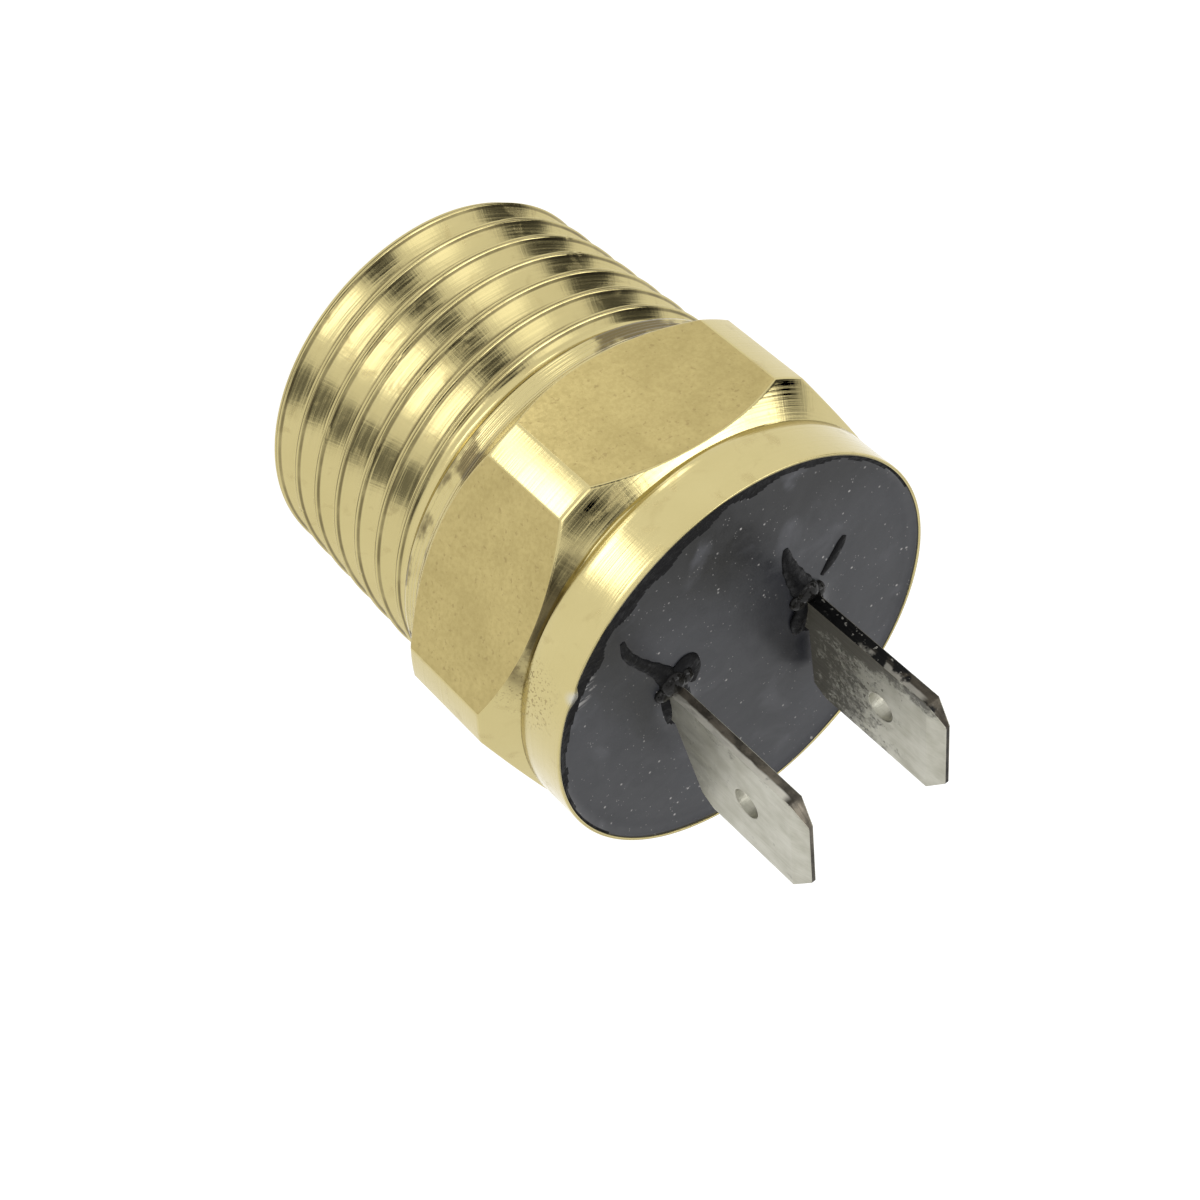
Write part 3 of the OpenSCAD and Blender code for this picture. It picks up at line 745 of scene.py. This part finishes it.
def make_body():
    """One closed brass body: thread, neck, hexagon, collar, lip and bores."""
    points, faces = [], []
    low, high = 0.08, THREAD_LEN
    face_rings = add_rings(plain_rings(end_face()), points)
    lead = [(0.0, LEAD_R - 0.10), (0.015, LEAD_R - 0.02), (low, lead_radius(low))]
    face_rings += add_rings(plain_rings(lead), points)
    neck = neck_rings()
    hexagon, first_flat, last_flat = hexagon_rings()
    outer, inside = rim_and_bores()
    collar = [(GROOVE_Z + 0.02, GROOVE_R + 0.02), (COLLAR_Z - 0.03, COLLAR_R - 0.04)]
    collar += [(z, COLLAR_R) for z in np.linspace(COLLAR_Z + 0.03, BODY_H - 0.2, 6)]
    upper = add_rings(neck, points)
    first_flat += len(upper)
    last_flat += len(upper)
    upper += add_rings(hexagon, points)
    upper += add_rings(plain_rings(collar), points)
    upper += add_rings(nicked(plain_rings(outer[1:]), 0.12), points)
    upper += add_rings(nicked(plain_rings(inside[:3]), 0.40), points)
    upper += add_rings(plain_rings(inside[3:]), points)
    for a, b in zip(face_rings, face_rings[1:]):
        faces += ring_faces(close(a), close(b))
    faces += thread_section(points, face_rings[-1], upper[0], low, high)
    slots = [0] * len(faces)
    flat_columns = [bool(ON_FLAT[j] and ON_FLAT[(j + 1) % len(ANGLES)]) for j in range(len(ANGLES))]
    for k, (a, b) in enumerate(zip(upper, upper[1:])):
        new = ring_faces(close(a), close(b))
        faces += new
        on_hexagon = first_flat <= k < last_flat - 1
        slots += [1 if on_hexagon and flat_columns[j] else 0 for j in range(len(new))]
    closing = ring_faces(close(upper[-1]), close(face_rings[0]))
    faces += closing
    slots += [0] * len(closing)
    materials = [MATERIALS["turned_brass"], MATERIALS["milled_brass"]]
    return make_mesh("turned_body", points, faces, materials, slots)


# --- Resin -----------------------------------------------------------------------------------------

RIDGES = [
    # points (x, y, half width) of a ridge of resin that was drawn up with a terminal
    [(-6.5, 6.1, 0.10), (-6.4, 4.9, 0.30), (-5.6, 3.6, 0.28), (-4.5, 2.1, 0.42), (-4.1, 0.9, 0.7)],
    [(-4.1, 1.1, 0.60), (-3.2, 2.0, 0.45), (-2.7, 1.2, 0.42), (-3.0, 0.1, 0.20)],
    [(2.9, 5.0, 0.12), (3.0, 3.6, 0.42), (3.4, 2.4, 0.58), (4.0, 0.9, 0.75)],
    [(6.5, 3.1, 0.12), (6.1, 2.5, 0.34), (5.6, 1.9, 0.30), (4.9, 1.3, 0.12)],
    [(3.9, 0.8, 0.60), (3.2, -0.6, 0.50), (3.4, -1.6, 0.20)],
]
LUMPS = [
    # x, y, half width and height of a round lump of resin at the foot of a terminal
    (-4.15, 1.15, 0.72, 0.52),
    (-3.45, 1.05, 0.48, 0.40),
    (-4.75, 0.75, 0.45, 0.30),
    (3.95, 1.15, 0.66, 0.50),
    (4.55, 0.85, 0.42, 0.42),
    (3.40, 0.75, 0.48, 0.36),
]


def ripple(x, y):
    """A small irregular wave between about -1 and 1."""
    return 0.5 * np.sin(2.3 * x + 1.1 * y + 0.4) + 0.5 * np.sin(1.3 * x - 2.9 * y + 2.1)


def resin_height(x, y):
    """Top of the resin: a slight sag, a meniscus at the lip, ridges and mounds round the stems."""
    r = np.hypot(x, y)
    z = RESIN_TOP - 0.06 * (1 - (r / CUP_R) ** 2)
    z += 0.24 * np.exp(-(LIP_R - r) / 0.30)
    z += 0.03 * np.sin(0.55 * x + 0.8) * np.sin(0.48 * y + 0.3)
    for side in (-1, 1):
        away = np.hypot(x - side * BLADE_X, (y - STEM_Y) / 1.5)
        z += 0.42 * bump(away, 0.80)
    return z


def in_painted_shade(x, y):
    """Where the resin is painted near-black as shade: by the rim on one side, and on ridges and mounds.
    """
    r, angle = np.hypot(x, y), np.degrees(np.arctan2(y, x)) % 360
    side_share = bump(angle - 118, 55)
    by_rim = r > LIP_R - np.maximum(side_share * (1.35 + 0.40 * ripple(x, y)), 0.04)
    near_stem = np.full(np.shape(x), 99.0)
    for side in (-1, 1):
        near_stem = np.minimum(near_stem, np.hypot((x - side * BLADE_X) / 0.85, (y - STEM_Y) / 1.55))
    return by_rim | (near_stem < 1)


def add_ridge(wing, points, faces):
    """A closed, flattened, tapering ridge that lies half sunk in the resin."""
    around, along = 14, 40
    way = np.linspace(0, len(wing) - 1, along)
    corner_x, corner_y, corner_w = (np.array([p[k] for p in wing]) for k in range(3))
    soft = np.linspace(-0.45, 0.45, 7)
    x, y, w = (
        np.mean([np.interp(way + s, range(len(wing)), c) for s in soft], axis=0)
        for c in (corner_x, corner_y, corner_w)
    )
    w = w * (1 + 0.10 * ripple(2.2 * x, 2.2 * y))
    dx, dy = np.gradient(x), np.gradient(y)
    size = np.hypot(dx, dy)
    turn = np.linspace(0, 2 * math.pi, around, endpoint=False)
    level = resin_height(x, y)
    rings = []
    for k in range(along):
        across, up = w[k] * np.cos(turn), 0.38 * w[k] * np.sin(turn)
        rings.append(list(range(len(points), len(points) + around)))
        points += list(
            zip(x[k] - dy[k] / size[k] * across, y[k] + dx[k] / size[k] * across, level[k] + up)
        )
    for a, b in zip(rings, rings[1:]):
        faces += ring_faces(close(a), close(b))
    for ring, k, sign in ((rings[0], 0, -1), (rings[-1], along - 1, 1)):
        tip = len(points)
        points.append((x[k] + sign * dx[k], y[k] + sign * dy[k], level[k]))
        faces += [[tip, ring[(j + 1) % around], ring[j]][::-sign] for j in range(around)]


def add_lump(x, y, size, height, points, faces):
    """A closed round lump that sits half sunk in the resin."""
    around, levels = 24, 10
    turn = np.linspace(0, 2 * math.pi, around, endpoint=False)
    foot = float(resin_height(x, y))
    top, bottom = len(points), len(points) + 1
    points += [(x, y, foot + height), (x, y, foot - height)]
    rings = []
    for rise in np.linspace(math.pi / 2, -math.pi / 2, levels + 2)[1:-1]:
        px = x + size * math.cos(rise) * np.cos(turn)
        py = y + size * math.cos(rise) * np.sin(turn)
        pz = foot + height * (math.sin(rise) + 0.12 * math.cos(rise) * ripple(3 * px, 3 * py))
        rings.append(list(range(len(points), len(points) + around)))
        points += list(zip(px, py, pz))
    faces += [[top, rings[0][j], rings[0][(j + 1) % around]] for j in range(around)]
    for a, b in zip(rings, rings[1:]):
        faces += ring_faces(close(b), close(a))
    faces += [[bottom, rings[-1][(j + 1) % around], rings[-1][j]] for j in range(around)]


def make_resin():
    """A closed disc of resin that fills the cup."""
    columns = 360
    edge = LIP_R - 0.01
    radii = [edge * (k / 96) ** 0.9 for k in range(1, 97)]
    angles = np.linspace(0, 2 * math.pi, columns, endpoint=False)
    points, rings = [(0.0, 0.0, float(resin_height(0.0, 0.0)))], []
    for r in radii:
        x, y = r * np.cos(angles), r * np.sin(angles)
        rings.append(list(range(len(points), len(points) + columns)))
        points += list(zip(x, y, resin_height(x, y)))
    top_rings = len(rings)
    lower = ((BODY_H - LIP_DEPTH, LIP_WALL_R - 0.01), (BODY_H - LIP_DEPTH - 0.05, CUP_R - 0.02))
    for z, r in (*lower, (RESIN_LOW, CUP_R - 0.03)):
        rings.append(list(range(len(points), len(points) + columns)))
        points += list(zip(r * np.cos(angles), r * np.sin(angles), np.full(columns, z)))
    points.append((0.0, 0.0, RESIN_LOW))
    faces = [[0, rings[0][j], rings[0][(j + 1) % columns]] for j in range(columns)]
    slots = [0] * columns
    step = math.pi / columns
    for k, (a, b) in enumerate(zip(rings, rings[1:])):
        faces += ring_faces(close(a), close(b))
        if k + 1 < top_rings:
            middle = (radii[k] + radii[k + 1]) / 2
            # The near-black slot is painted shade.
            dull = in_painted_shade(middle * np.cos(angles + step), middle * np.sin(angles + step))
            slots += dull.astype(int).tolist()
        else:
            slots += [0] * columns
    last = len(points) - 1
    faces += [[last, rings[-1][(j + 1) % columns], rings[-1][j]] for j in range(columns)]
    slots += [0] * columns
    for ridge in RIDGES:
        add_ridge(ridge, points, faces)
    # The ridges get the near-black skin of painted shade too.
    slots += [1] * (len(faces) - len(slots))
    for lump in LUMPS:
        add_lump(*lump, points, faces)
    slots += [2] * (len(faces) - len(slots))
    materials = [MATERIALS["epoxy"], MATERIALS["painted_shade_epoxy"], MATERIALS["wet_epoxy"]]
    return make_mesh("potting_resin", points, faces, materials, slots)


# --- Terminals -------------------------------------------------------------------------------------


def make_terminal(name, node, strip, sides, hole_wall):
    """A punched terminal with a coined tip, rounded edges and a finish of its own on punched sides."""
    work = bmesh.new()
    work.from_mesh(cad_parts[node].data)
    bmesh.ops.remove_doubles(work, verts=work.verts, dist=0.0005 * MM)
    flat = math.radians(1)
    bmesh.ops.dissolve_limit(work, angle_limit=flat, verts=work.verts, edges=work.edges)
    middle_x = math.copysign(BLADE_X, sum(v.co.x for v in work.verts)) * MM
    coin_z = (BLADE_TIP - COIN_H) * MM
    whole = work.verts[:] + work.edges[:] + work.faces[:]
    bmesh.ops.bisect_plane(work, geom=whole, dist=1e-7, plane_co=(0, 0, coin_z), plane_no=(0, 0, 1))
    for vert in work.verts:
        share = np.clip((vert.co.z - coin_z) / (COIN_H * MM), 0, 1)
        if share > 0:
            vert.co.x = middle_x + (vert.co.x - middle_x) * (1 - (1 - COIN_TIP) * share)
    sharp = [e for e in work.edges if len(e.link_faces) == 2 and e.calc_face_angle() > math.radians(30)]
    bmesh.ops.bevel(
        work, geom=sharp, offset=0.05 * MM, segments=2, affect="EDGES", profile=0.5, clamp_overlap=True
    )
    bmesh.ops.triangulate(work, faces=[f for f in work.faces if len(f.verts) > 4])
    blade_middle = BLADE_SIDE_Y - BLADE_W / 2
    for face in work.faces:
        centre = face.calc_center_median() / MM
        upright = abs(face.normal.x) < 0.35 and centre.z > RESIN_TOP
        in_hole = math.hypot(centre.y - blade_middle, centre.z - HOLE_Z) < HOLE_R + 0.02
        face.material_index = 2 if upright and in_hole else int(upright)
        face.smooth = False
    mesh = bpy.data.meshes.new(name)
    work.to_mesh(mesh)
    work.free()
    for finish in (strip, sides, hole_wall):
        mesh.materials.append(MATERIALS[finish])
    obj = bpy.data.objects.new(name, mesh)
    bpy.context.scene.collection.objects.link(obj)
    return obj


# --- Springs ---------------------------------------------------------------------------------------


def make_spring(name, node, wire, turns):
    """A coil spring with flattened end coils."""
    sides, steps = 20, round(64 * turns)
    low, high = height_of(node, 0), height_of(node, 1)
    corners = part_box(node)
    centre_x = (corners[0].x + corners[1].x) / 2 / MM
    middle_r = (corners[1].x - corners[0].x) / 2 / MM - wire
    turned = np.linspace(0, turns, steps + 1)
    pitch = np.clip(turned / 0.5, 0.15, 1) * np.clip((turns - turned) / 0.5, 0.15, 1)
    climb = np.concatenate([[0], np.cumsum((pitch[1:] + pitch[:-1]) / 2)])
    level = low + wire + (high - low - 2 * wire) * climb / climb[-1]
    section = np.linspace(0, 2 * math.pi, sides, endpoint=False)
    points, rings = [], []
    for angle, z in zip(2 * math.pi * turned, level):
        r = middle_r + wire * np.cos(section)
        rings.append(list(range(len(points), len(points) + sides)))
        points += list(
            zip(centre_x + r * math.cos(angle), r * math.sin(angle), z + wire * np.sin(section))
        )
    faces = [rings[0], rings[-1]]
    for a, b in zip(rings, rings[1:]):
        faces += ring_faces(close(a), close(b))
    obj = make_mesh(name, points, faces, [MATERIALS["spring_steel"]])
    place(obj, "spring_steel", node)
    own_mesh(obj)


# --- Finish of the inner CAD pieces ----------------------------------------------------------------

FINISHES = {
    "port_filter": "sintered",
    "filter_retaining_ring": "spring_steel",
    "diaphragm_seal": "rubber",
    "diaphragm": "diaphragm_steel",
    "diaphragm_clamp_ring": "inner_brass",
    "pressure_piston": "inner_brass",
    "spring_seat": "spring_steel",
    "spring_adjusting_ring": "inner_brass",
    "plunger_pin": "spring_steel",
    "guide_plate": "moulding",
    "guide_bush": "inner_brass",
    "contact_housing": "moulding",
    "housing_seal": "rubber",
    "housing_screws": "screw_steel",
    "terminal_rivets": "inner_brass",
    "contact_lever": "bronze",
    "lever_pivot_pin": "spring_steel",
    "moving_contact": "silver",
    "fixed_contact": "silver",
}


def finish_inner_pieces():
    for node, finish in FINISHES.items():
        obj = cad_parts[node]
        obj.data.materials.clear()
        obj.data.materials.append(MATERIALS[finish])


# --- Stage -----------------------------------------------------------------------------------------

FLOOR_GLOW = 0.93
# Painted pools of light: spots where the floor glows brighter, though no lamp shines there.
PAINTED_FLOOR_POOLS = [
    # centre (x, y), inner and outer radius, brightness added
    ((-23.0, 34.0), 4.0, 11.0, 3.6),
    ((6.0, 28.0), 2.0, 6.0, 2.6),
    ((-11.0, 27.0), 2.0, 6.0, 2.6),
]
SKY_BASE = 1.12
SKY_SPOTS = [
    # direction, inner and outer angle, brightness added
    ((0.04, 0.77, 0.64), 6, 11, -1.05),
    ((0.92, 0.20, 0.30), 9, 17, -1.05),
    ((0.90, -0.04, 0.43), 3, 8, -0.60),
    ((-0.81, 0.17, 0.56), 7, 13, -0.92),
    ((-0.25, 0.42, 0.87), 4, 10, -0.95),
    ((-0.05, 0.38, 0.92), 4, 10, -0.85),
    ((-0.55, -0.17, 0.82), 4, 10, -0.80),
    ((-0.31, 0.69, 0.65), 3, 9, 1.7),
    ((-0.48, 0.58, 0.66), 3, 9, 1.7),
    ((0.43, 0.68, 0.59), 4, 12, 0.7),
    ((0.18, 0.40, 0.90), 3, 7, 2.8),
    ((0.32, 0.38, 0.87), 4, 8, 2.8),
    ((0.48, 0.35, 0.80), 6, 12, 3.5),
    ((0.66, 0.24, 0.71), 5, 9, 3.0),
    ((0.80, 0.10, 0.59), 3, 8, 2.6),
    ((-0.46, 0.12, 0.88), 5, 11, -0.90),
    ((0.39, -0.72, 0.57), 1, 5, -0.45),
    ((0.35, -0.78, 0.53), 3, 7, -0.40),
    ((0.43, -0.735, 0.525), 0, 3, -0.50),
    ((0.38, -0.90, 0.20), 6, 16, -0.70),
]


def make_floor():
    """A plain pale floor that glows evenly, and brighter in front of the switch in painted pools of
    light.
    """
    half = 2000.0
    points = [(-half, -half, 0), (half, -half, 0), (half, half, 0), (-half, half, 0)]
    n = Nodes("pale_floor")
    n.set(color=(0.2, 0.2, 0.2, 1), roughness=0.9, specular=0.0)
    glow = FLOOR_GLOW
    for place_xy, inner, outer, value in PAINTED_FLOOR_POOLS:
        glow = n.math("ADD", glow, n.near((*place_xy, 0), inner, outer, value))
    n.shader.inputs["Emission Color"].default_value = (1, 1, 1, 1)
    n.link(glow, n.shader.inputs["Emission Strength"])
    floor = make_mesh("floor", points, [[0, 1, 2, 3]], [n.material], smooth=False)


def direction_spot(tree, direction, inner, outer, value):
    """Adds value times a soft round spot of the sky, from inner to outer degrees round a direction."""
    coord = tree.nodes.new("ShaderNodeTexCoord")
    dot = tree.nodes.new("ShaderNodeVectorMath")
    dot.operation = "DOT_PRODUCT"
    tree.links.new(coord.outputs["Generated"], dot.inputs[0])
    dot.inputs[1].default_value = Vector(direction).normalized()
    ramp = tree.nodes.new("ShaderNodeMapRange")
    ramp.interpolation_type = "SMOOTHSTEP"
    tree.links.new(dot.outputs["Value"], ramp.inputs["Value"])
    ramp.inputs["From Min"].default_value = math.cos(math.radians(outer))
    ramp.inputs["From Max"].default_value = math.cos(math.radians(inner))
    ramp.inputs["To Max"].default_value = value
    return ramp.outputs[0]


def make_sky():
    world = bpy.data.worlds.new("studio")
    world.use_nodes = True
    tree = world.node_tree
    total = None
    for direction, inner, outer, value in SKY_SPOTS:
        spot = direction_spot(tree, direction, inner, outer, value)
        add = tree.nodes.new("ShaderNodeMath")
        add.operation = "ADD"
        if total is None:
            add.inputs[0].default_value = SKY_BASE
        else:
            tree.links.new(total, add.inputs[0])
        tree.links.new(spot, add.inputs[1])
        total = add.outputs[0]
    tree.nodes["Background"].inputs["Color"].default_value = (1, 1, 1, 1)
    tree.links.new(total, tree.nodes["Background"].inputs["Strength"])
    bpy.context.scene.world = world


CAMERA_PLACE = Vector((-43.5, 91.0, 83.2))
CAMERA_AIM = Vector((-6.14, 6.97, 22.82))
CAMERA_ROLL = 132.6
CAMERA_LENS = 75.0


def make_camera():
    data = bpy.data.cameras.new("camera")
    data.lens = CAMERA_LENS
    data.sensor_width = 36.0
    data.clip_start = 1 * MM
    data.clip_end = 10.0
    camera = bpy.data.objects.new("camera", data)
    turn = (CAMERA_AIM - CAMERA_PLACE).to_track_quat("-Z", "Y").to_matrix().to_4x4()
    roll = Matrix.Rotation(math.radians(CAMERA_ROLL), 4, "Z")
    camera.matrix_world = Matrix.Translation(CAMERA_PLACE * MM) @ turn @ roll
    bpy.context.scene.collection.objects.link(camera)
    bpy.context.scene.camera = camera


# --- Build -----------------------------------------------------------------------------------------


def place(obj, slot, *nodes):
    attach(obj, "root")
    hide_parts(*nodes)


place(make_body(), "brass_body", "switch_body")
place(make_resin(), "resin", "potting_compound")
common = make_terminal("common_blade", "common_terminal", "tin_clean", "sides_clean", "tin_clean")
fixed = make_terminal("fixed_blade", "fixed_terminal", "tin_stained", "sides_stained", "tin_clean")
place(common, "tin_plate", "common_terminal")
place(fixed, "tin_plate", "fixed_terminal")
make_spring("range_spring_coil", "range_spring", 0.4, 2.25)
make_spring("return_spring_coil", "lever_return_spring", 0.15, 4)
finish_inner_pieces()
make_floor()
make_sky()
make_camera()
bpy.context.scene.view_settings.view_transform = "Standard"
